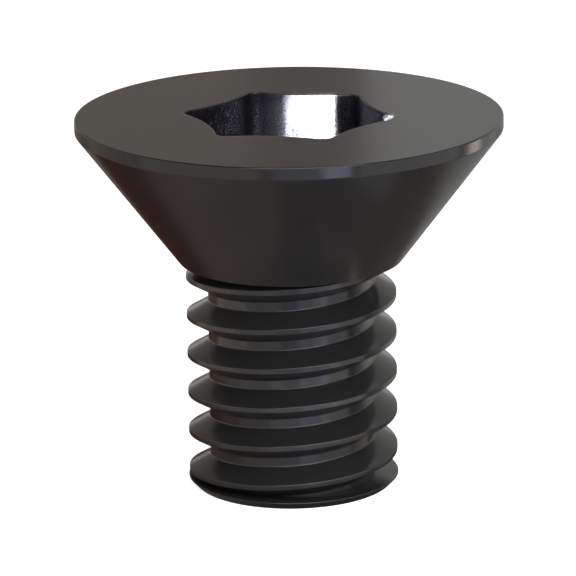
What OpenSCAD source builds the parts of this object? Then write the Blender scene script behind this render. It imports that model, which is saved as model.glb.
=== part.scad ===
// Flat head machine screw with a six-lobe drive recess, one piece of steel.
// It stands on its plain end, with its head up and its axis along Z.

/* [Overall] */
// Height of the whole screw, from the end to the top of the head
length = 7.48; // [6:0.01:12]

/* [Head] */
// Diameter of the head
head_d = 8.43; // [7.2:0.01:10]
// Height of the straight rim round the top of the head
rim_h = 0.24; // [0.1:0.01:0.6]
// Included angle of the conical seat under the head
seat_angle = 74; // [66:1:90]
// How far the small end of the seat stands out past the thread, on each side
neck_step = 0.14; // [0.05:0.01:0.4]

/* [Drive recess] */
// Distance across the recess, from lobe tip to lobe tip
lobe_span = 4.16; // [3.4:0.02:4.8]
// Radius of each lobe's rounded tip
lobe_r = 0.22; // [0.15:0.01:0.35]
// Radius of the arc between two lobes: a larger one is flatter
waist_arc_r = 3.3; // [1.2:0.1:6]
// Depth of the recess, along its straight walls
recess_depth = 1.6; // [0.8:0.05:1.8]
// Depth of the shallow cone below the straight walls
recess_point = 0.3; // [0.1:0.05:0.4]
// Angle of the first lobe, counted from the right and seen from above
lobe_turn = -10; // [-30:1:30]

/* [Thread] */
// Outside diameter of the thread
thread_d = 4.166; // [3.6:0.001:5]
// Rise of the right-hand thread in one turn
pitch = 0.794; // [0.5:0.001:1.1]
// Drop from the head's underside to the middle of the first crest, at the front
first_crest = 0.15; // [0:0.01:0.7]
// Flat facets in one turn of the thread
turn_facets = 48; // [24:4:72]

/* [End] */
// Height of the plain chamfered end below the thread
end_h = 0.16; // [0.1:0.01:0.6]
// How far the chamfer of the end cuts in from the thread's outside
end_cut = 0.13; // [0.05:0.01:0.6]

/* [Hidden] */
$fn = 96;

lobes = 6;
head_r = head_d / 2;
thread_r = thread_d / 2;
neck_r = thread_r + neck_step;
seat_h = (head_r - neck_r) / tan(seat_angle / 2);
head_h = rim_h + seat_h;
shank_top = length - head_h;
thread_h = shank_top - end_h;

// A 60 degree thread: each crest is an eighth of the pitch wide and each root a quarter
flank_slope = tan(30);
root_w = pitch / 4;
crest_w = pitch / 8;
flank_w = (pitch - root_w - crest_w) / 2;
root_r = thread_r - flank_w / flank_slope;
front_angle = -90;

// The threaded rod reaches a little way into the end and into the head, so that all three are one solid
end_land = 0.02;
rod_sink = 0.01;
rod_rise = 0.3;
end_r = thread_r + 0.01;
rod_z = end_h - rod_sink;
rod_h = thread_h + rod_sink + rod_rise;

// The rod is first made longer than it shows, from this height at the front and by this many turns
turns_below = ceil((thread_h - first_crest) / pitch) + 1;
first_root_z = shank_top - first_crest - pitch / 2 - turns_below * pitch;
rod_turns = turns_below + 3;

// Lobe circles and waist circles of the recess touch each other smoothly
lobe_c = lobe_span / 2 - lobe_r;
half_step = 180 / lobes;
waist_c = lobe_c * cos(half_step) + sqrt(pow(lobe_r + waist_arc_r, 2) - pow(lobe_c * sin(half_step), 2));
waist_centre = waist_c * [cos(half_step), sin(half_step)];
waist_r = waist_c - waist_arc_r;
meet_angle = atan2(waist_centre[1], waist_centre[0] - lobe_c);
arc_steps = 10;
mouth_clear = 0.5;

// The turned end: a thin land, then a chamfer down to the flat end face
module plain_end() {
    rotate_extrude()
        polygon([
            [0, 0],
            [end_r - end_cut, 0],
            [end_r, end_h - end_land],
            [end_r, end_h],
            [0, end_h]
        ]);
}

// The turned head: a conical seat under a straight rim and a flat top
module head() {
    rotate_extrude()
        polygon([
            [0, shank_top],
            [neck_r, shank_top],
            [head_r, length - rim_h],
            [head_r, length],
            [0, length]
        ]);
}

// Corners of the thread's outline at one angle of its helix: root low, root high, crest low, crest high
function thread_ring(turn) =
    let (a = front_angle + 360 * turn, z = first_root_z + pitch * turn)
    [for (p = [[root_r, -root_w / 2], [root_r, root_w / 2],
               [thread_r, root_w / 2 + flank_w], [thread_r, root_w / 2 + flank_w + crest_w]])
        [p[0] * cos(a), p[0] * sin(a), z + p[1]]];

// A rod with the helical thread: its corners are joined along the helix, and to those of the turn above
module threaded_rod() {
    n = turn_facets;
    rings = rod_turns * n;
    points = [for (i = [0:rings]) each thread_ring(i / n)];
    low_tip = len(points);
    high_tip = low_tip + 1;
    low_z = points[0][2];
    high_z = points[low_tip - 1][2];
    strips = [for (i = [0:rings - 1], k = [0:2])
        let (a = 4 * i + k) each [[a, a + 1, a + 4], [a + 1, a + 5, a + 4]]];
    joins = [for (i = [0:rings - n - 1])
        let (a = 4 * i + 3, b = 4 * (i + n)) each [[a, b, a + 4], [b, b + 4, a + 4]]];
    low_loop = concat([for (i = [0:n]) 4 * i], [3, 2, 1, 0]);
    high_loop = concat(
        [for (i = [rings - n:rings]) 4 * i + 3],
        [for (k = [2:-1:0]) 4 * rings + k],
        [4 * (rings - n) + 3]);
    low_cap = [for (i = [0:len(low_loop) - 2]) [low_tip, low_loop[i], low_loop[i + 1]]];
    high_cap = [for (i = [0:len(high_loop) - 2]) [high_tip, high_loop[i + 1], high_loop[i]]];
    polyhedron(
        points = concat(points, [[0, 0, low_z], [0, 0, high_z]]),
        faces = concat(strips, joins, low_cap, high_cap),
        convexity = 12);
}

// The rod cut square at both ends
module shank() {
    intersection() {
        threaded_rod();
        translate([0, 0, rod_z])
            cylinder(h = rod_h, r = head_r);
    }
}

// Points along a round arc, without its last one
function arc(centre, r, from, to) =
    [for (i = [0:arc_steps - 1])
        let (a = from + (to - from) * i / arc_steps) centre + r * [cos(a), sin(a)]];

// Outline of the recess: six lobes joined by six waists, all of round arcs that meet smoothly
module lobe_outline() {
    lobe = arc([lobe_c, 0], lobe_r, -meet_angle, meet_angle);
    waist = arc(waist_centre, waist_arc_r, meet_angle + 180, 180 + 2 * half_step - meet_angle);
    polygon([for (i = [0:lobes - 1], p = concat(lobe, waist))
        let (a = i * 360 / lobes) [p[0] * cos(a) - p[1] * sin(a), p[0] * sin(a) + p[1] * cos(a)]]);
}

// Straight lobed walls, ending in a shallow cone
module drive_recess() {
    translate([0, 0, length - recess_depth])
        rotate(lobe_turn)
            linear_extrude(recess_depth + mouth_clear)
                lobe_outline();
    translate([0, 0, length - recess_depth - recess_point])
        cylinder(h = recess_point, r1 = 0, r2 = waist_r);
}

// The whole screw, blackened steel
module screw() {
    color([0.16, 0.155, 0.15])
        difference() {
            union() {
                plain_end();
                shank();
                head();
            }
            drive_recess();
        }
}

screw();
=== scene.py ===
import math

import bpy
import numpy as np
from bpy.props import FloatProperty, FloatVectorProperty, IntProperty
from mathutils import Matrix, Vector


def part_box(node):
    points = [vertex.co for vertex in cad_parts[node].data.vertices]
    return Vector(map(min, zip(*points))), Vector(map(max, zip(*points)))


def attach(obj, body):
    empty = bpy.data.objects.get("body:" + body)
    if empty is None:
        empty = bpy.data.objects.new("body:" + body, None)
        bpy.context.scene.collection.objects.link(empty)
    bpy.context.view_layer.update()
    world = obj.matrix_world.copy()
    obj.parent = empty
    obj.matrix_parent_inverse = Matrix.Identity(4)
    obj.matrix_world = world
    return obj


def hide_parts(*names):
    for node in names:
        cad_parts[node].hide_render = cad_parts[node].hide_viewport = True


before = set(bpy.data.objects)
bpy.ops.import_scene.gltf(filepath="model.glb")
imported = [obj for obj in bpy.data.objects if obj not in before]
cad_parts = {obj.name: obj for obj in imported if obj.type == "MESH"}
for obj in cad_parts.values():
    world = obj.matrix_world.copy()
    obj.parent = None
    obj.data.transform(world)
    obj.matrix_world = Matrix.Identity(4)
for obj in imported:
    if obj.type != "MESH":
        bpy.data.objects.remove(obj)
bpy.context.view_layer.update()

bl_info = {
    "name": "Flat Head Screw",
    "version": (1, 0, 0),
    "blender": (4, 5, 0),
    "location": "3D View > Sidebar > Screw",
    "description": "Builds a blackened flat head screw with a six-lobe recess, and a small photo studio round it",
    "category": "Add Mesh",
}

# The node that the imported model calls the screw, and the millimetre in metres
NODE = "screw"
MM = 0.001
CAD_LOW, CAD_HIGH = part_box(NODE)
HEAD_D = 2 * min(-CAD_LOW.x, -CAD_LOW.y, CAD_HIGH.x, CAD_HIGH.y)

# The thread's first crest and its seam are counted from the side that faces the camera, which is -Y
FRONT_ANGLE = -math.pi / 2
LOBES = 6

# Rows held this close to a rounded edge keep the flat sides beside it flat in smooth shading
HOLD = 0.03 * MM
THREAD_HOLD = 0.018 * MM
# Edges sharper than this stay sharp
SHARP_ANGLE = math.radians(38)

# The end disc stands a little past the thread, and has an upright land above its chamfer
END_PROUD = 0.013 * MM
END_LAND = 0.024 * MM
END_FACE_R = 0.03 * MM
END_EDGE_R = 0.012 * MM
NECK_R = 0.02 * MM
# The foot of the recess's walls is rounded, with a narrow ledge between it and the floor's shallow cone
FOOT_R = 0.05 * MM
LEDGE = 0.02 * MM
# The first rows of the recess's rounded mouth still wear the outer finish
MOUTH_ROWS = 3

# At the screw, the middle of the head's top lies this far right of the picture's centre and above it
HEAD_SHIFT = (0.064911 * MM, 3.392654 * MM)
# Half the width of the floor, in metres
FLOOR_REACH = 2.0


def linear(colour):
    """An sRGB hex colour as three linear numbers."""
    c = np.array([int(colour[i:i + 2], 16) / 255 for i in (1, 3, 5)])
    return tuple(float(v) for v in np.where(c <= 0.04045, c / 12.92, ((c + 0.055) / 1.055) ** 2.4))


# ---- Sizes and colours that a user would change ----


class ScrewShape(bpy.types.PropertyGroup):
    """Sizes of the screw, in metres and radians"""

    length: FloatProperty(
        name="Length", description="Height of the whole screw, from the end to the top of the head",
        default=CAD_HIGH.z, min=0.004, unit="LENGTH", precision=5)
    head_d: FloatProperty(
        name="Head Diameter", description="Diameter of the head at its rim",
        default=HEAD_D, min=0.005, unit="LENGTH", precision=5)
    rim_h: FloatProperty(
        name="Rim Height", description="Height of the straight rim round the top of the head",
        default=0.24 * MM, min=0.0001, unit="LENGTH", precision=5)
    seat_angle: FloatProperty(
        name="Seat Angle", description="Included angle of the conical seat",
        default=math.radians(74), min=math.radians(60), max=math.radians(100), unit="ROTATION")
    neck_step: FloatProperty(
        name="Neck Step", description="How far the seat's small end stands out past the thread",
        default=0.14 * MM, min=0.00005, unit="LENGTH", precision=5)
    lobe_span: FloatProperty(
        name="Lobe Span", description="Distance across the recess, from lobe tip to lobe tip",
        default=4.16 * MM, min=0.002, unit="LENGTH", precision=5)
    waist_arc_r: FloatProperty(
        name="Waist Arc Radius", description="Radius of the arc between two lobes: a larger one is flatter",
        default=3.3 * MM, min=0.001, unit="LENGTH", precision=5)
    lobe_r: FloatProperty(
        name="Lobe Radius", description="Radius of each lobe's rounded tip",
        default=0.22 * MM, min=0.0001, unit="LENGTH", precision=5)
    recess_depth: FloatProperty(
        name="Recess Depth", description="Depth of the recess, along its straight walls",
        default=1.6 * MM, min=0.0005, unit="LENGTH", precision=5)
    recess_point: FloatProperty(
        name="Recess Point", description="Depth of the shallow cone below the straight walls",
        default=0.3 * MM, min=0.0001, unit="LENGTH", precision=5)
    lobe_turn: FloatProperty(
        name="Lobe Turn", description="Angle of the first lobe, counted from the right and seen from above",
        default=math.radians(-10), unit="ROTATION")
    thread_d: FloatProperty(
        name="Thread Diameter", description="Outside diameter of the thread",
        default=4.166 * MM, min=0.002, unit="LENGTH", precision=6)
    pitch: FloatProperty(
        name="Pitch", description="Rise of the right-hand thread in one turn",
        default=0.794 * MM, min=0.0003, unit="LENGTH", precision=6)
    first_crest: FloatProperty(
        name="First Crest", description="Drop from the head's underside to the first crest's middle, at the front",
        default=0.15 * MM, min=0.0, unit="LENGTH", precision=5)
    end_h: FloatProperty(
        name="End Height", description="Height of the plain chamfered end below the thread",
        default=0.16 * MM, min=0.00005, unit="LENGTH", precision=5)
    end_cut: FloatProperty(
        name="End Cut", description="How far the chamfer of the end cuts in from the thread's outside",
        default=0.13 * MM, min=0.00005, unit="LENGTH", precision=5)
    edge_r: FloatProperty(
        name="Edge Radius", description="Radius left by tumbling on the rim's two edges and round the recess's mouth",
        default=0.025 * MM, min=0.0, unit="LENGTH", precision=6)
    crest_r: FloatProperty(
        name="Crest Radius", description="Radius on the thread's crest corners",
        default=0.014 * MM, min=0.0, unit="LENGTH", precision=6)
    root_r: FloatProperty(
        name="Root Radius", description="Radius in the thread's root corners",
        default=0.025 * MM, min=0.0, unit="LENGTH", precision=6)
    lobe_steps: IntProperty(
        name="Lobe Steps", description="Columns of the surface along one lobe's arc", default=18, min=4)
    waist_steps: IntProperty(
        name="Waist Steps", description="Columns of the surface along one waist's arc", default=30, min=4)


class ScrewFinish(bpy.types.PropertyGroup):
    """Colours, gloss and grain of the blackened steel"""

    oxide: FloatVectorProperty(
        name="Oxide", description="Black oxide with its oil film", subtype="COLOR",
        default=linear("#1c1d1e"), min=0.0, max=1.0)
    oxide_thin: FloatVectorProperty(
        name="Thin Oxide", description="The slightly browner tone where the oxide is thinner", subtype="COLOR",
        default=linear("#21201f"), min=0.0, max=1.0)
    gloss_low: FloatProperty(
        name="Smooth Roughness", description="Roughness of the smoothest grains", default=0.16, min=0.0, max=1.0)
    gloss_high: FloatProperty(
        name="Dry Roughness", description="Roughness of the driest grains", default=0.23, min=0.0, max=1.0)
    grain: FloatProperty(
        name="Grain Size", description="Size of the oxide's grain", default=0.027 * MM, min=0.000001,
        unit="LENGTH", precision=6)
    grain_depth: FloatProperty(
        name="Grain Depth", description="Height of the oxide's grain", default=0.0004 * MM, min=0.0,
        unit="LENGTH", precision=7)
    punched: FloatVectorProperty(
        name="Punched Steel", description="Steel of the recess walls under a thin oxide", subtype="COLOR",
        default=linear("#494a4f"), min=0.0, max=1.0)
    punched_gloss: FloatProperty(
        name="Punched Roughness", description="Mean roughness of the recess walls", default=0.38, min=0.0, max=1.0)
    punched_step: FloatProperty(
        name="Punched Roughness Step", description="How much smoother or rougher a grain of the recess walls can be",
        default=0.11, min=0.0, max=1.0)
    punched_grain: FloatProperty(
        name="Punched Grain Size", description="Size of the grain on the recess walls", default=0.022 * MM,
        min=0.000001, unit="LENGTH", precision=6)
    punched_depth: FloatProperty(
        name="Punched Grain Depth", description="Height of the draw marks, and half the height of the grain",
        default=0.003 * MM, min=0.0, unit="LENGTH", precision=6)
    draw_mark: FloatProperty(
        name="Draw Mark Width", description="Distance between the punch's draw marks down the walls",
        default=0.05 * MM, min=0.000001, unit="LENGTH", precision=6)


class ScrewStudio(bpy.types.PropertyGroup):
    """Camera and light of the studio"""

    camera_distance: FloatProperty(
        name="Camera Distance", description="Distance from the camera to the plane of the head's centre",
        default=88.213 * MM, min=0.01, unit="LENGTH", precision=5)
    camera_pitch: FloatProperty(
        name="Camera Pitch", description="How far the camera looks down", default=0.2763, unit="ROTATION")
    camera_roll: FloatProperty(
        name="Camera Roll", description="How far the picture of the screw leans to the left",
        default=0.0145, unit="ROTATION")
    lens: FloatProperty(
        name="Lens", description="Focal length on a sensor 36 mm wide, in millimetres", default=281.25, min=1.0)
    world_level: FloatProperty(
        name="Surroundings", description="Brightness of the studio's walls", default=0.06, min=0.0)
    floor_lift: FloatProperty(
        name="Floor Lift", description="Brightness that brings the pale floor up to white", default=0.8, min=0.0)
    # Painted reflection: the six floor tones below are not lit paper but a glow that only the screw's gloss sees, and
    # the darker tones behind are painted shade
    painted_reflection_front_left: FloatVectorProperty(
        name="Front Left Floor", description="What the screw's gloss shows of the floor in front, at the left",
        subtype="COLOR", default=linear("#92827a"), min=0.0, max=1.0)
    painted_reflection_front_right: FloatVectorProperty(
        name="Front Right Floor", description="What the screw's gloss shows of the floor in front, at the right",
        subtype="COLOR", default=linear("#5c4f45"), min=0.0, max=1.0)
    painted_reflection_back_left: FloatVectorProperty(
        name="Back Left Floor", description="What the screw's gloss shows of the floor behind, at the left",
        subtype="COLOR", default=linear("#4e2c29"), min=0.0, max=1.0)
    painted_reflection_back_right: FloatVectorProperty(
        name="Back Right Floor", description="What the screw's gloss shows of the floor behind, at the right",
        subtype="COLOR", default=linear("#655d56"), min=0.0, max=1.0)
    painted_reflection_far_left: FloatVectorProperty(
        name="Far Left Floor", description="What the screw's gloss shows of the floor farther behind, at the left",
        subtype="COLOR", default=linear("#81766e"), min=0.0, max=1.0)
    painted_reflection_far_right: FloatVectorProperty(
        name="Far Right Floor", description="What the screw's gloss shows of the floor farther behind, at the right",
        subtype="COLOR", default=linear("#9e9e9c"), min=0.0, max=1.0)


# ---- Surfaces ----


def unit(vector):
    """The vector divided by its length, along the last axis."""
    return vector / np.linalg.norm(vector, axis=-1, keepdims=True)


def rounded(corners, radii, steps, hold):
    """Rows of a profile. Each inner corner becomes an arc of its radius that touches both of its sides:
    the arc starts at corner - reach * into, with reach = radius * tan(turn / 2), its centre lies one radius
    to the side that the profile turns to, and its points are centre - radius * cos(a) * side + radius * sin(a) * into.
    A row is held close to each end of the arc, so that the flat sides stay flat in smooth shading."""
    corners = np.asarray(corners, float)
    sides = np.diff(corners, axis=0)
    lengths = np.linalg.norm(sides, axis=1)
    ways = sides / lengths[:, None]
    turns = np.arccos(np.clip((ways[:-1] * ways[1:]).sum(1), -1, 1))
    reaches = np.asarray(radii) * np.tan(turns / 2)
    free = lengths - np.append(reaches, 0) - np.insert(reaches, 0, 0)
    rows = [corners[:1]]
    for i, (turn, radius, reach) in enumerate(zip(turns, radii, reaches)):
        into, out = ways[i], ways[i + 1]
        side = unit(out - into * (into @ out))
        start = corners[i + 1] - into * reach
        a = np.linspace(0, turn, steps + 1)[:, None]
        arc = start + radius * side - radius * np.cos(a) * side + radius * np.sin(a) * into
        if free[i] > 3 * hold:
            rows.append(start[None] - into * hold)
        rows.append(arc)
        if free[i + 1] > 3 * hold:
            rows.append(arc[-1:] + out * hold)
    rows.append(corners[-1:])
    return np.concatenate(rows)


def waist_centre(s):
    """Distance from the axis to the centre of a waist's arc, which touches two lobe circles from outside."""
    lobe_c = s.lobe_span / 2 - s.lobe_r
    half = math.pi / LOBES
    return lobe_c * math.cos(half) + math.sqrt((s.lobe_r + s.waist_arc_r) ** 2 - (lobe_c * math.sin(half)) ** 2)


def lobe_outline(s):
    """Outline of the recess, counter-clockwise, and its normals, which point into the metal.
    A lobe is an arc round a point at lobe_c from the axis, centre + r * (cos a, sin a). A waist is an arc round
    a point outside the recess, run backwards, and the two touch where the line between their centres crosses them."""
    lobe_c = s.lobe_span / 2 - s.lobe_r
    half = math.pi / LOBES
    middle = waist_centre(s) * np.array([math.cos(half), math.sin(half)])
    meet = math.atan2(middle[1], middle[0] - lobe_c)
    a = -meet + 2 * meet * np.arange(s.lobe_steps) / s.lobe_steps
    b = meet + math.pi + (2 * half - 2 * meet) * np.arange(s.waist_steps) / s.waist_steps
    lobe_n = np.stack([np.cos(a), np.sin(a)], 1)
    waist_n = np.stack([np.cos(b), np.sin(b)], 1)
    points = np.concatenate([[lobe_c, 0] + s.lobe_r * lobe_n, middle + s.waist_arc_r * waist_n])
    normals = np.concatenate([lobe_n, -waist_n])
    turn = s.lobe_turn + 2 * half * np.arange(LOBES)
    cos, sin = np.cos(turn)[:, None], np.sin(turn)[:, None]

    def turned(p):
        return np.stack([p[:, 0] * cos - p[:, 1] * sin, p[:, 0] * sin + p[:, 1] * cos], -1).reshape(-1, 2)

    return turned(points), turned(normals)


def thread_profile(s):
    """One pitch of the thread as radius over height, from one root's middle to the next.
    A 60 degree form: flat crest P/8 wide, flat root P/4 wide, and depth = flank width / tan 30."""
    flank = (s.pitch - s.pitch / 8 - s.pitch / 4) / 2
    crest = s.thread_d / 2
    root = crest - flank / math.tan(math.radians(30))
    corners = [
        (root, -s.pitch / 2), (root, -s.pitch * 3 / 8), (crest, -s.pitch / 16),
        (crest, s.pitch / 16), (root, s.pitch * 3 / 8), (root, s.pitch / 2)]
    return rounded(corners, [s.root_r, s.crest_r, s.crest_r, s.root_r], steps=3, hold=THREAD_HOLD)


def thread_rows(s, angles, low, high):
    """Points of the thread between the flat planes low and high, for columns at the given angles.
    A row follows the helix: height = row height + pitch * (angle - front) / one turn. Where that leaves the
    planes the point stops on the plane, at the radius that the profile has there.
    Returns heights and radii as rows by columns, and the number of rows in one pitch."""
    profile = thread_profile(s)
    per_pitch = len(profile) - 1
    first = s.length - head_height(s) - s.first_crest
    below = math.ceil((first - low) / s.pitch) + 2
    above = math.ceil((high - first) / s.pitch) + 2
    starts = first + s.pitch * np.arange(-below, above + 1)
    v = (starts[:, None] + profile[None, :-1, 1]).ravel()
    rise = s.pitch * (angles - FRONT_ANGLE) / (2 * math.pi)
    z = np.clip(v[:, None] + rise[None], low, high)
    phase = (z - rise[None] - first + s.pitch / 2) % s.pitch - s.pitch / 2
    r = np.interp(phase, profile[:, 1], profile[:, 0])
    return z, r, per_pitch


def head_height(s):
    """Height of the rim and the seat together."""
    return s.rim_h + (s.head_d / 2 - s.thread_d / 2 - s.neck_step) / math.tan(s.seat_angle / 2)


def ring_rows(profile, columns):
    """A turned surface: every row of the profile (radius, height) is carried round the axis."""
    return profile[:, 0, None, None] * columns[None], np.repeat(profile[:, 1, None], len(columns), 1)


def screw_surface(s):
    """The whole screw as one closed grid. Its rows run from the middle of the end face up the outside, over the
    rim, across the top face and down the recess to the middle of its floor, and its columns run round the axis,
    at the angles of the recess's outline. The thread's rows climb one pitch in a turn, so at the seam each row
    joins the row one pitch above it.
    Returns points, faces and the row at which the recess begins."""
    outline, normals = lobe_outline(s)
    start = int(np.argmin(np.abs(np.unwrap(np.arctan2(outline[:, 1], outline[:, 0])) - FRONT_ANGLE)))
    outline, normals = np.roll(outline, -start, 0), np.roll(normals, -start, 0)
    angles = np.unwrap(np.arctan2(outline[:, 1], outline[:, 0]))
    angles += 2 * math.pi * round((FRONT_ANGLE - angles[0]) / (2 * math.pi))
    columns = np.stack([np.cos(angles), np.sin(angles)], 1)
    count = len(columns)

    neck_z = s.length - head_height(s)
    thread_r = s.thread_d / 2
    head_r = s.head_d / 2
    end_r = thread_r + END_PROUD
    end = rounded(
        [(0, 0), (end_r - s.end_cut, 0), (end_r, s.end_h - END_LAND), (end_r, s.end_h), (thread_r, s.end_h)],
        [END_FACE_R, END_EDGE_R, END_EDGE_R], steps=4, hold=HOLD)[1:-1]
    head = rounded(
        [(thread_r, neck_z), (thread_r + s.neck_step, neck_z), (head_r, s.length - s.rim_h),
         (head_r, s.length), (head_r / 2, s.length)],
        [NECK_R, s.edge_r, s.edge_r], steps=5, hold=HOLD)[1:-1]
    thread_z, thread_rr, per_pitch = thread_rows(s, angles, s.end_h, neck_z)

    # The recess: a rounded mouth, straight walls, a rounded foot, a ledge and a shallow cone
    mouth = s.edge_r
    a = np.linspace(0, math.pi / 2, 5)
    floor_z = s.length - s.recess_depth
    out = np.concatenate([[mouth + HOLD], mouth * (1 - np.sin(a)), [0, 0, 0], -FOOT_R * (1 - np.cos(a))])
    down = np.concatenate([
        [s.length], s.length - mouth * (1 - np.cos(a)),
        [s.length - mouth - HOLD, s.length - s.recess_depth / 2, floor_z + FOOT_R + HOLD],
        floor_z + FOOT_R * (1 - np.sin(a))])
    recess = outline[None] + out[:, None, None] * normals[None]
    recess_z = np.repeat(down[:, None], count, 1)
    cone_r = waist_centre(s) - s.waist_arc_r - FOOT_R - LEDGE
    cone = np.array([(cone_r * share, floor_z - (1 - share) * s.recess_point) for share in (1, 0.97, 0.5)])

    end_xy, end_z = ring_rows(end, columns)
    head_xy, head_z = ring_rows(head, columns)
    cone_xy, cone_z = ring_rows(cone, columns)
    thread_xy = thread_rr[..., None] * columns[None]

    blocks = [(end_xy, end_z), (thread_xy, thread_z), (head_xy, head_z), (recess, recess_z), (cone_xy, cone_z)]
    points = np.concatenate([
        np.concatenate([xy, z[..., None]], -1).reshape(-1, 3) for xy, z in blocks])
    rows = [len(z) for _, z in blocks]
    ids = np.arange(len(points)).reshape(-1, count)
    low_pole, high_pole = len(points), len(points) + 1
    points = np.concatenate([points, [[0, 0, 0], [0, 0, floor_z - s.recess_point]]])

    # Thread rows that stop on a plane share one point there, and the seam joins rows one pitch apart
    t0, t1 = rows[0], rows[0] + rows[1]
    thread_ids = ids[t0:t1]
    stopped_low = thread_z <= s.end_h
    stopped_high = thread_z >= neck_z
    thread_ids = np.where(stopped_low, thread_ids[:1], thread_ids)
    thread_ids = np.where(stopped_high, thread_ids[-1:], thread_ids)
    seam = np.concatenate([thread_ids[per_pitch:, :1], np.repeat(thread_ids[-1:, :1], per_pitch, 0)])
    wrapped = np.concatenate([ids, ids[:, :1]], 1)
    wrapped[t0:t1] = np.concatenate([thread_ids, seam], 1)
    grid = np.concatenate([
        np.full((1, count + 1), low_pole), wrapped, np.full((1, count + 1), high_pole)])
    quads = np.stack([grid[:-1, :-1], grid[:-1, 1:], grid[1:, 1:], grid[1:, :-1]], -1)
    row_of = np.repeat(np.arange(len(grid) - 1), count)
    return points, quads.reshape(-1, 4), row_of, 1 + sum(rows[:3])


def split_faces(quads, row_of):
    """Quads stay quads where their four points differ. The others are cut into two triangles, and a triangle
    that uses a point twice is dropped."""
    whole = (np.diff(np.sort(quads, 1), axis=1) > 0).all(1)
    rest, rest_row = quads[~whole], row_of[~whole]
    triangles = np.concatenate([rest[:, [0, 1, 2]], rest[:, [0, 2, 3]]])
    triangle_row = np.concatenate([rest_row, rest_row])
    keep = (np.diff(np.sort(triangles, 1), axis=1) > 0).all(1)
    return quads[whole], row_of[whole], triangles[keep], triangle_row[keep]


def make_object(name, points, faces, smooth=True):
    """A mesh object at the origin with those points and faces, without the points that no face uses."""
    used, flat = np.unique(np.concatenate([np.ravel(f) for f in faces]), return_inverse=True)
    sizes = np.concatenate([np.full(len(f), f.shape[1]) for f in faces])
    mesh = bpy.data.meshes.new(name)
    mesh.vertices.add(len(used))
    mesh.vertices.foreach_set("co", points[used].astype(np.float32).ravel())
    mesh.loops.add(len(flat))
    mesh.loops.foreach_set("vertex_index", flat.astype(np.int32))
    mesh.polygons.add(len(sizes))
    mesh.polygons.foreach_set("loop_start", np.concatenate([[0], np.cumsum(sizes)[:-1]]).astype(np.int32))
    mesh.update(calc_edges=True)
    if mesh.validate():
        raise RuntimeError(f"the mesh of {name} had faults")
    if smooth:
        mesh.shade_smooth()
        mesh.set_sharp_from_angle(angle=SHARP_ANGLE)
    obj = bpy.data.objects.new(name, mesh)
    bpy.context.scene.collection.objects.link(obj)
    return obj


# ---- Materials ----


def add_node(tree, kind, settings=None, inputs=None, links=None):
    """Adds a node, sets its own settings and its sockets' values, and links other nodes' outputs to its sockets."""
    node = tree.nodes.new(kind)
    for name, value in (settings or {}).items():
        setattr(node, name, value)
    for name, value in (inputs or {}).items():
        node.inputs[name].default_value = value
    for name, output in (links or {}).items():
        tree.links.new(output, node.inputs[name])
    return node


def smooth_step(tree, value, low, high, start=0.0, end=1.0):
    """The smooth climb of a value from start, at low, to end, at high."""
    node = add_node(
        tree, "ShaderNodeMapRange", {"interpolation_type": "SMOOTHSTEP"},
        {"From Min": low, "From Max": high, "To Min": start, "To Max": end}, {"Value": value})
    return node.outputs["Result"]


def mixed(tree, factor, first, second):
    """The blend of two colours. Each is a colour or another node's output."""
    values, links = {}, {"Factor": factor}
    for socket, colour in (("A", first), ("B", second)):
        if isinstance(colour, bpy.types.NodeSocket):
            links[socket] = colour
        else:
            values[socket] = (*colour, 1.0)
    return add_node(tree, "ShaderNodeMix", {"data_type": "RGBA"}, values, links).outputs["Result"]


def gloss_rays(tree, path):
    """1 for a ray that a glossy or a clear surface sends on, and 0 for any other."""
    node = add_node(
        tree, "ShaderNodeMath", {"operation": "ADD", "use_clamp": True}, {},
        {0: path.outputs["Is Glossy Ray"], 1: path.outputs["Is Transmission Ray"]})
    return node.outputs["Value"]


def new_material(name):
    """An empty node material and its tree."""
    material = bpy.data.materials.new(name)
    material.use_nodes = True
    material.node_tree.nodes.clear()
    return material, material.node_tree


def black_oxide(f):
    """Cold-headed alloy steel, tumbled, blackened in a hot oxide bath and dipped in oil."""
    material, tree = new_material("hot_black_oxide_steel_oiled")
    place = add_node(tree, "ShaderNodeTexCoord").outputs["Object"]
    # Oxide grain, which gives the eye a fine speckle in an even satin sheen. The real grain is some thousandths
    # of a millimetre, too fine to show, so it is drawn about one and a half pixels of the picture wide.
    grain = add_node(
        tree, "ShaderNodeTexNoise", {}, {"Scale": 1 / f.grain, "Detail": 2.0, "Roughness": 0.6}, {"Vector": place})
    # A drift of oxide thickness from one side of the part to the other, about two millimetres across
    drift = add_node(
        tree, "ShaderNodeTexNoise", {}, {"Scale": 1 / (2.0 * MM), "Detail": 1.0, "Roughness": 0.4}, {"Vector": place})
    colour = mixed(tree, drift.outputs["Fac"], f.oxide, f.oxide_thin)
    gloss = add_node(
        tree, "ShaderNodeMapRange", {},
        {"From Min": 0.3, "From Max": 0.7, "To Min": f.gloss_low, "To Max": f.gloss_high},
        {"Value": grain.outputs["Fac"]})
    bump = add_node(
        tree, "ShaderNodeBump", {}, {"Strength": 1.0, "Distance": f.grain_depth}, {"Height": grain.outputs["Fac"]})
    shader = add_node(
        tree, "ShaderNodeBsdfPrincipled", {}, {"Metallic": 0.0, "IOR": 1.5},
        {"Base Color": colour, "Roughness": gloss.outputs["Result"], "Normal": bump.outputs["Normal"]})
    add_node(tree, "ShaderNodeOutputMaterial", links={"Surface": shader.outputs["BSDF"]})
    return material


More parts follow.
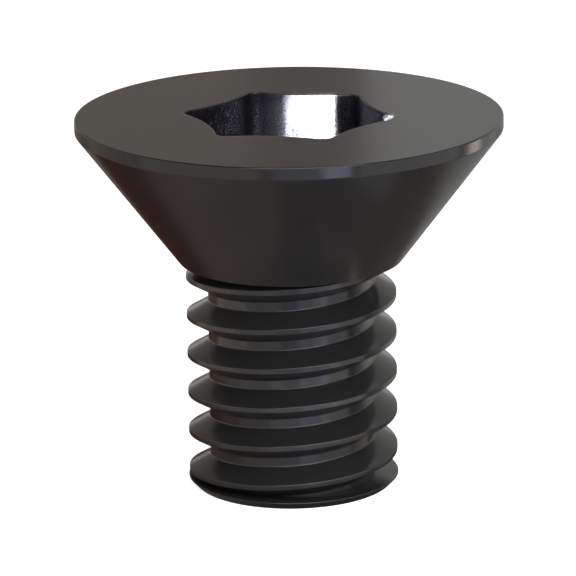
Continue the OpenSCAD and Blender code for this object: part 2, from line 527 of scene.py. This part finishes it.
def punched_steel(f):
    """Walls and floor of the recess: cold-punched steel under a thin oxide, burnished by the punch."""
    material, tree = new_material("cold_punched_steel_thin_oxide")
    place = add_node(tree, "ShaderNodeTexCoord").outputs["Object"]
    # Draw marks of the punch, down the walls, which give the eye faint upright streaks. Real ones lie a few
    # hundredths of a millimetre apart, and so do these.
    stretch = add_node(tree, "ShaderNodeMapping", {}, {"Scale": (1.0, 1.0, 0.04)}, {"Vector": place})
    marks = add_node(
        tree, "ShaderNodeTexNoise", {}, {"Scale": 1 / f.draw_mark, "Detail": 3.0},
        {"Vector": stretch.outputs["Vector"]})
    # Broken oxide grain, smoother and rougher from grain to grain, which gives the eye a sparkle where a bright
    # reflection ends. The real grain is too fine to show, so it is drawn one to two pixels wide.
    crumbs = add_node(
        tree, "ShaderNodeTexNoise", {}, {"Scale": 1 / f.punched_grain, "Detail": 1.0}, {"Vector": place})
    height = add_node(
        tree, "ShaderNodeMath", {"operation": "MULTIPLY_ADD"}, {1: 2.0},
        {0: crumbs.outputs["Fac"], 2: marks.outputs["Fac"]})
    gloss = add_node(
        tree, "ShaderNodeMapRange", {},
        {"From Min": 0.4, "From Max": 0.6,
         "To Min": f.punched_gloss - f.punched_step, "To Max": f.punched_gloss + f.punched_step},
        {"Value": crumbs.outputs["Fac"]})
    bump = add_node(
        tree, "ShaderNodeBump", {}, {"Strength": 1.0, "Distance": f.punched_depth}, {"Height": height.outputs["Value"]})
    shader = add_node(
        tree, "ShaderNodeBsdfPrincipled", {}, {"Base Color": (*f.punched, 1.0), "Metallic": 1.0},
        {"Roughness": gloss.outputs["Result"], "Normal": bump.outputs["Normal"]})
    add_node(tree, "ShaderNodeOutputMaterial", links={"Surface": shader.outputs["BSDF"]})
    return material


# ---- Studio ----


def add_softbox(name, aim, azimuth, elevation, distance, size, brightness, colour, spread):
    """A flat area lamp that faces the point aim. Azimuth counts from the camera's side to the right, brightness
    is what a mirror would show of it, and a lamp of that brightness gives pi * area * brightness watts.
    A spread below 180 degrees gathers the light into a beam, which a mirror shows brighter than that: ten times
    for 60 degrees, and only from inside the beam."""
    data = bpy.data.lights.new(name, "AREA")
    data.shape = "RECTANGLE"
    data.size, data.size_y = size
    data.energy = math.pi * size[0] * size[1] * brightness
    data.color = linear(colour)
    data.spread = math.radians(spread)
    lamp = bpy.data.objects.new(name, data)
    way = np.array([
        math.sin(azimuth) * math.cos(elevation), -math.cos(azimuth) * math.cos(elevation), math.sin(elevation)])
    right = unit(np.cross([0, 0, 1], way))
    up = np.cross(way, right)
    matrix = np.eye(4)
    matrix[:3, :3] = np.stack([right, up, way], 1)
    matrix[:3, 3] = np.asarray(aim) + way * distance
    lamp.matrix_world = Matrix(matrix.tolist())
    lamp.visible_camera = False
    bpy.context.scene.collection.objects.link(lamp)


def floor_material(t):
    """Pale paper floor. It takes shadows, and the camera sees it lifted to white. In the screw's gloss it shows a
    painted reflection
    instead: glowing tones with no lamp, one for each quarter near the screw, the darker ones behind being painted
    shade, lighter ones farther behind, soft steps between them, a painted shade close to the foot, and farther out the
    white of the background."""
    material, tree = new_material("pale_paper_and_painted_reflection")
    path = add_node(tree, "ShaderNodeLightPath")
    lift = add_node(
        tree, "ShaderNodeMath", {"operation": "MULTIPLY"}, {1: t.floor_lift}, {0: path.outputs["Is Camera Ray"]})
    paper = add_node(
        tree, "ShaderNodeBsdfPrincipled", {}, {
            "Base Color": (*linear("#e6e5e3"), 1.0), "Roughness": 0.9, "Specular IOR Level": 0.1,
            "Emission Color": (1, 1, 1, 1)},
        {"Emission Strength": lift.outputs["Value"]})
    place = add_node(tree, "ShaderNodeTexCoord").outputs["Object"]
    axes = add_node(tree, "ShaderNodeSeparateXYZ", links={"Vector": place})
    away = add_node(tree, "ShaderNodeVectorMath", {"operation": "LENGTH"}, {}, {0: place}).outputs["Value"]
    # The floor farther behind begins nearer to the screw at the right than at the left
    lopsided = add_node(
        tree, "ShaderNodeVectorMath", {"operation": "DISTANCE"}, {1: (-6 * MM, -3 * MM, 0)}, {0: place})
    right = smooth_step(tree, axes.outputs["X"], -1.3 * MM, 0.2 * MM)
    behind = smooth_step(tree, axes.outputs["Y"], -1 * MM, 3 * MM)
    far = smooth_step(tree, lopsided.outputs["Value"], 13.8 * MM, 16.2 * MM)
    # Painted reflection: tones that the floor glows with for glossy rays only, the darker ones behind standing for
    # shade
    front = mixed(tree, right, t.painted_reflection_front_left, t.painted_reflection_front_right)
    back = mixed(tree, right, t.painted_reflection_back_left, t.painted_reflection_back_right)
    far_back = mixed(tree, right, t.painted_reflection_far_left, t.painted_reflection_far_right)
    tone = mixed(tree, behind, front, mixed(tree, far, back, far_back))
    # Farther out the painted reflection turns to the white of the background
    beyond = smooth_step(tree, away, 60 * MM, 150 * MM)
    # Painted shade: the glowing gloss tone of the paper is darkened close to the screw's foot
    painted_foot_shade = smooth_step(tree, away, 2.0 * MM, 3.5 * MM, 0.45, 1.0)
    # The painted reflection is an emission, seen by glossy and clear rays in place of the lit paper
    shown = add_node(
        tree, "ShaderNodeEmission", {}, {}, {"Color": mixed(tree, beyond, tone, (1, 1, 1)), "Strength": painted_foot_shade})
    surface = add_node(
        tree, "ShaderNodeMixShader", {}, {},
        {"Fac": gloss_rays(tree, path), 1: paper.outputs["BSDF"], 2: shown.outputs["Emission"]})
    add_node(tree, "ShaderNodeOutputMaterial", links={"Surface": surface.outputs["Shader"]})
    return material


def studio_world(t):
    """White where the camera looks past the floor. The screw's gloss shows that white as a band along the horizon,
    under the dim walls and ceiling of the studio."""
    world = bpy.data.worlds.new("studio_walls")
    world.use_nodes = True
    tree = world.node_tree
    tree.nodes.clear()
    path = add_node(tree, "ShaderNodeLightPath")
    way = add_node(tree, "ShaderNodeTexCoord").outputs["Generated"]
    height = add_node(tree, "ShaderNodeSeparateXYZ", links={"Vector": way})
    band = smooth_step(tree, height.outputs["Z"], 0.03, 0.12, 1.0, 0.0)
    seen = add_node(
        tree, "ShaderNodeMath", {"operation": "MULTIPLY_ADD", "use_clamp": True}, {},
        {0: gloss_rays(tree, path), 1: band, 2: path.outputs["Is Camera Ray"]})
    level = add_node(
        tree, "ShaderNodeMix", {"data_type": "FLOAT"}, {"A": t.world_level, "B": 1.0},
        {"Factor": seen.outputs["Value"]})
    back = add_node(
        tree, "ShaderNodeBackground", {}, {"Color": (*linear("#fdfcfa"), 1.0)}, {"Strength": level.outputs["Result"]})
    add_node(tree, "ShaderNodeOutputWorld", links={"Surface": back.outputs["Background"]})
    return world


def camera_matrix(t, aim_z):
    """The camera looks along (0, cos p, -sin p) and is rolled by the picture's lean. Its place is the middle of
    the head's top minus the distance along the view, and minus the shift along the unrolled right and up."""
    p, roll = t.camera_pitch, t.camera_roll
    right = np.array([1.0, 0, 0])
    ahead = np.array([0, math.cos(p), -math.sin(p)])
    up = np.cross(right, ahead)
    place = np.array([0, 0, aim_z]) - HEAD_SHIFT[0] * right - HEAD_SHIFT[1] * up - t.camera_distance * ahead
    matrix = np.eye(4)
    matrix[:3, 0] = math.cos(roll) * right - math.sin(roll) * up
    matrix[:3, 1] = math.sin(roll) * right + math.cos(roll) * up
    matrix[:3, 2] = -ahead
    matrix[:3, 3] = place
    return Matrix(matrix.tolist())


# ---- Lamps ----

# Each softbox: name, azimuth and elevation in degrees, distance, width and height in mm, the point it faces in mm,
# brightness, colour and spread in degrees. The camera sees none of them.
LAMPS = (
    # The key is a large softbox in front and above, and a weaker one stands behind
    ("key", 10, 40, 300, 300, 160, (0, 0, 4), 5.5, "#fffcf8", 180),
    ("back_key", 160, 60, 300, 160, 160, (0, 0, 4), 0.8, "#e4edff", 180),
    # Low panels round the front, which the rim and the thread's upright bands show
    ("low_left", -38, 0, 7, 7, 8, (0, 0, 4), 0.43, "#ffffff", 180),
    ("high_far_left", -95, 0, 11, 8, 4, (0, 0, 6), 0.22, "#fff8ea", 180),
    ("low_far_left", -88, 0, 9, 9, 3.2, (0, 0, 1.6), 0.68, "#fff8ea", 180),
    ("low_back_left", -128, -12, 6, 6, 3.4, (0, 0, 3.1), 0.015, "#ffe6d5", 60),
    ("low_front", 5, 0, 7, 3, 8, (0, 0, 4), 0.45, "#d9e2ff", 180),
    ("low_right", 51, 0, 7, 6.3, 8, (0, 0, 4), 0.75, "#ffffff", 180),
    ("low_side_right", 98, -12, 6, 2.8, 3.4, (0, 0, 3.1), 0.02, "#fffaf6", 60),
    ("low_back_right", 128, -12, 6, 3.7, 3.4, (0.7, -1.15, 3.1), 0.06, "#fff4ec", 60),
    ("foot_left", -50, 0, 5, 4, 1.6, (0, 0, 0.8), 0.15, "#fff8ea", 180),
    ("foot_front", 0, 0, 5, 5, 1.6, (0, 0, 0.8), 0.66, "#ebf2ff", 180),
    ("foot_right", 50, 0, 5, 4, 1.6, (0, 0, 0.8), 0.50, "#ffffff", 180),
    # Small panels on the floor close by, which the thread's lowest groove shows
    ("groove_left", -36, 0, 3.3, 3.6, 0.65, (0, 0, 0.4), 0.34, "#fffaf4", 180),
    ("groove_front", 0, 0, 3.3, 0.85, 0.65, (0, 0, 0.4), 0.45, "#f2f4ff", 180),
    ("groove_cool", 15, 0, 3.3, 0.95, 0.65, (0, 0, 0.4), 1.0, "#e0e4ff", 180),
    ("groove_right", 46, 0, 3.3, 2.9, 0.65, (0, 0, 0.4), 0.55, "#fff8f2", 180),
    ("groove_side", 86, 0, 3.3, 1.6, 0.65, (0, 0, 0.4), 0.5, "#fff2e8", 180),
    # Small strips that draw the bright lines: bluish on the rim and the thread, warm at the rim's right end
    ("cool_rim_strip", 20, 0, 10, 2, 3, (0, 0, 6), 2.6, "#dbdeff", 180),
    ("cool_rim_wide", 6, 0, 10, 3, 2.5, (0, 0, 6.2), 0.32, "#dbe2ff", 180),
    ("cool_thread_wide", 19, 0, 6, 2.4, 5, (0, 0, 2.6), 0.8, "#dde1ff", 180),
    ("cool_thread_strip", 39, 0, 6, 1, 5, (0, 0, 2.6), 1.1, "#c9d2ff", 180),
    ("warm_rim_strip", 92, 0, 8.5, 1.5, 1.5, (0, 0, 5.9), 3.1, "#fff0e5", 180),
    ("warm_rim_side", 106, 0, 7.8, 2.2, 1.2, (0, 0, 5.9), 0.35, "#fffaf6", 180),
    # Panels behind, above the picture, which the head's top face shows: warm at the left, pale at the right
    ("left_panel", 180, 0, 30, 60, 50, (-31.1, 0, 30), 0.225, "#fff0e2", 180),
    ("middle_panel", 180, 0, 30, 3.2, 50, (0.5, 0, 30), 0.15, "#fff2e8", 180),
    ("right_panel", 180, 0, 30, 60, 50, (32.1, 0, 30), 0.42, "#fffefa", 180),
    # Large dim softboxes at both sides, which the screw shows when it is looked at from a side
    ("side_left", -95, 28, 300, 220, 200, (0, 0, 4), 0.3, "#fff8f0", 180),
    ("side_right", 95, 28, 300, 220, 200, (0, 0, 4), 0.3, "#f4f8ff", 180),
    # Narrow beams over the front lip: the bright patch on the recess's back wall, a dim glow round it, and the
    # glint in the right lobe
    ("recess_beam", 6, 24, 6, 0.9, 0.95, (0.42, 1.68, 6.93), 100.0, "#ffffff", 2.5),
    ("recess_glow", 6, 24, 6, 0.5, 0.9, (-0.15, 1.68, 6.93), 8.0, "#f4f2ff", 8),
    ("recess_tip_beam", -20, 22, 5, 0.26, 0.1, (1.94, -0.13, 7.42), 240.0, "#ffffff", 1),
)


# ---- Operators ----


class SCREW_OT_build(bpy.types.Operator):
    """Build the screw's surface with its two finishes"""

    bl_idname = "screw.build"
    bl_label = "Build Screw"

    def execute(self, context):
        shape = context.scene.screw_shape
        finish = context.scene.screw_finish
        points, quads, row_of, recess_row = screw_surface(shape)
        quads, quad_row, triangles, triangle_row = split_faces(quads, row_of)
        screw = make_object("blackened_screw", points, [quads, triangles])
        screw.data.materials.append(black_oxide(finish))
        screw.data.materials.append(punched_steel(finish))
        rows = np.concatenate([quad_row, triangle_row])
        screw.data.polygons.foreach_set("material_index", (rows > recess_row + MOUTH_ROWS).astype(np.int32))
        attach(screw, "root")
        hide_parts(NODE)
        return {"FINISHED"}


class SCREW_OT_stage(bpy.types.Operator):
    """Set up the pale floor, the soft lights and the camera"""

    bl_idname = "screw.stage"
    bl_label = "Set Up Studio"

    def execute(self, context):
        scene = context.scene
        studio = scene.screw_studio
        corners = FLOOR_REACH * np.array([[-1, -1, 0], [1, -1, 0], [1, 1, 0], [-1, 1, 0]])
        floor = make_object("floor", corners, [np.array([[0, 1, 2, 3]])], smooth=False)
        floor.data.materials.append(floor_material(studio))
        scene.world = studio_world(studio)

        for name, azimuth, elevation, distance, width, height, aim, brightness, colour, spread in LAMPS:
            add_softbox(
                name, np.array(aim) * MM, math.radians(azimuth), math.radians(elevation), distance * MM,
                (width * MM, height * MM), brightness, colour, spread)

        camera = bpy.data.cameras.new("camera")
        camera.sensor_width = 36.0
        camera.lens = studio.lens
        camera.clip_start = 0.005
        camera.clip_end = 20.0
        view = bpy.data.objects.new("camera", camera)
        scene.collection.objects.link(view)
        view.matrix_world = camera_matrix(studio, scene.screw_shape.length)
        scene.camera = view
        scene.view_settings.view_transform = "Standard"
        return {"FINISHED"}


class SCREW_PT_panel(bpy.types.Panel):
    """Lists the sizes, the finish and the operators"""

    bl_label = "Flat Head Screw"
    bl_idname = "SCREW_PT_panel"
    bl_space_type = "VIEW_3D"
    bl_region_type = "UI"
    bl_category = "Screw"

    def draw(self, context):
        layout = self.layout
        for group in (context.scene.screw_shape, context.scene.screw_finish, context.scene.screw_studio):
            box = layout.box()
            for name in group.bl_rna.properties.keys():
                if name not in ("rna_type", "name"):
                    box.prop(group, name)
        layout.operator(SCREW_OT_build.bl_idname)
        layout.operator(SCREW_OT_stage.bl_idname)


CLASSES = (ScrewShape, ScrewFinish, ScrewStudio, SCREW_OT_build, SCREW_OT_stage, SCREW_PT_panel)


def register():
    """Adds the classes, and the three groups of settings to each scene."""
    for cls in CLASSES:
        bpy.utils.register_class(cls)
    bpy.types.Scene.screw_shape = bpy.props.PointerProperty(type=ScrewShape)
    bpy.types.Scene.screw_finish = bpy.props.PointerProperty(type=ScrewFinish)
    bpy.types.Scene.screw_studio = bpy.props.PointerProperty(type=ScrewStudio)


def unregister():
    """Takes away what register adds."""
    del bpy.types.Scene.screw_studio
    del bpy.types.Scene.screw_finish
    del bpy.types.Scene.screw_shape
    for cls in reversed(CLASSES):
        bpy.utils.unregister_class(cls)


def main():
    """Builds the screw and its studio."""
    register()
    bpy.ops.screw.build()
    bpy.ops.screw.stage()


if __name__ == "__main__":
    main()
